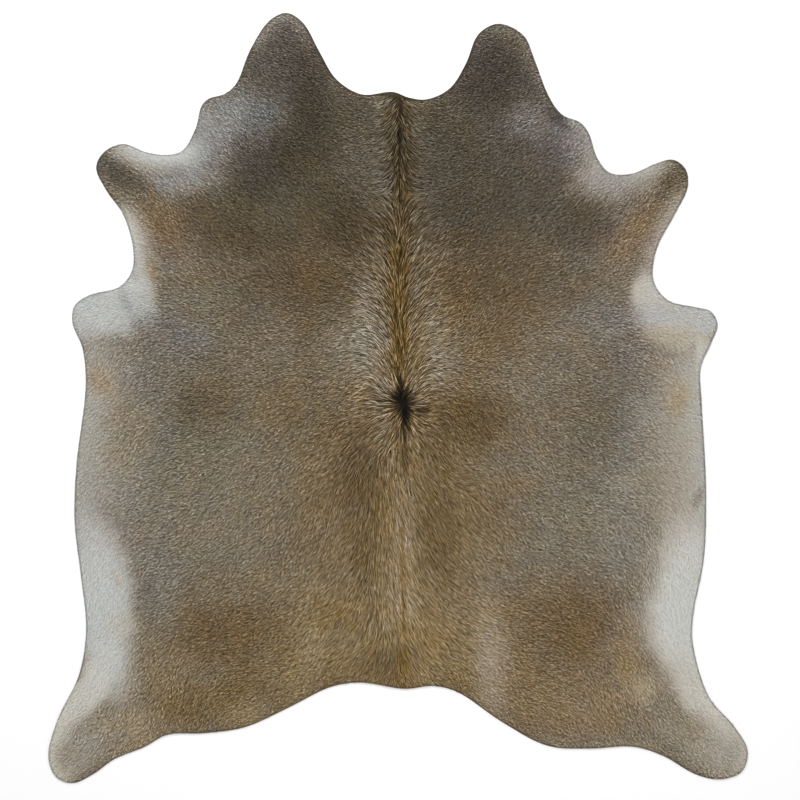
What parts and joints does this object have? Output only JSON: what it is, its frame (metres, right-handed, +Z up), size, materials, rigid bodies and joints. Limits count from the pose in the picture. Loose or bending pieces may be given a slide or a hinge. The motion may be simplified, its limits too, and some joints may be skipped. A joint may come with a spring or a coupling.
{
  "type": "cowhide rug",
  "caption": "Whole cowhide rug lying flat, hair side up, cut to the animal's outline with neck, shanks and belly, brindled brown with pale flanks.",
  "frame": {"origin": "on the floor, under the middle of the rug's box", "axes": "+Y along the spine towards the neck, +X to the right seen from above with the neck up, +Z up out of the hair side"},
  "size_m": [1.9972, 2.2, 0.0086],
  "materials": {
    "hair_on_hide": "short glossy hair, brindled brown to grey-white, on suede-backed leather"
  },
  "bodies": {
    "root": {"hide": "hair_on_hide"}
  },
  "joints": []
}
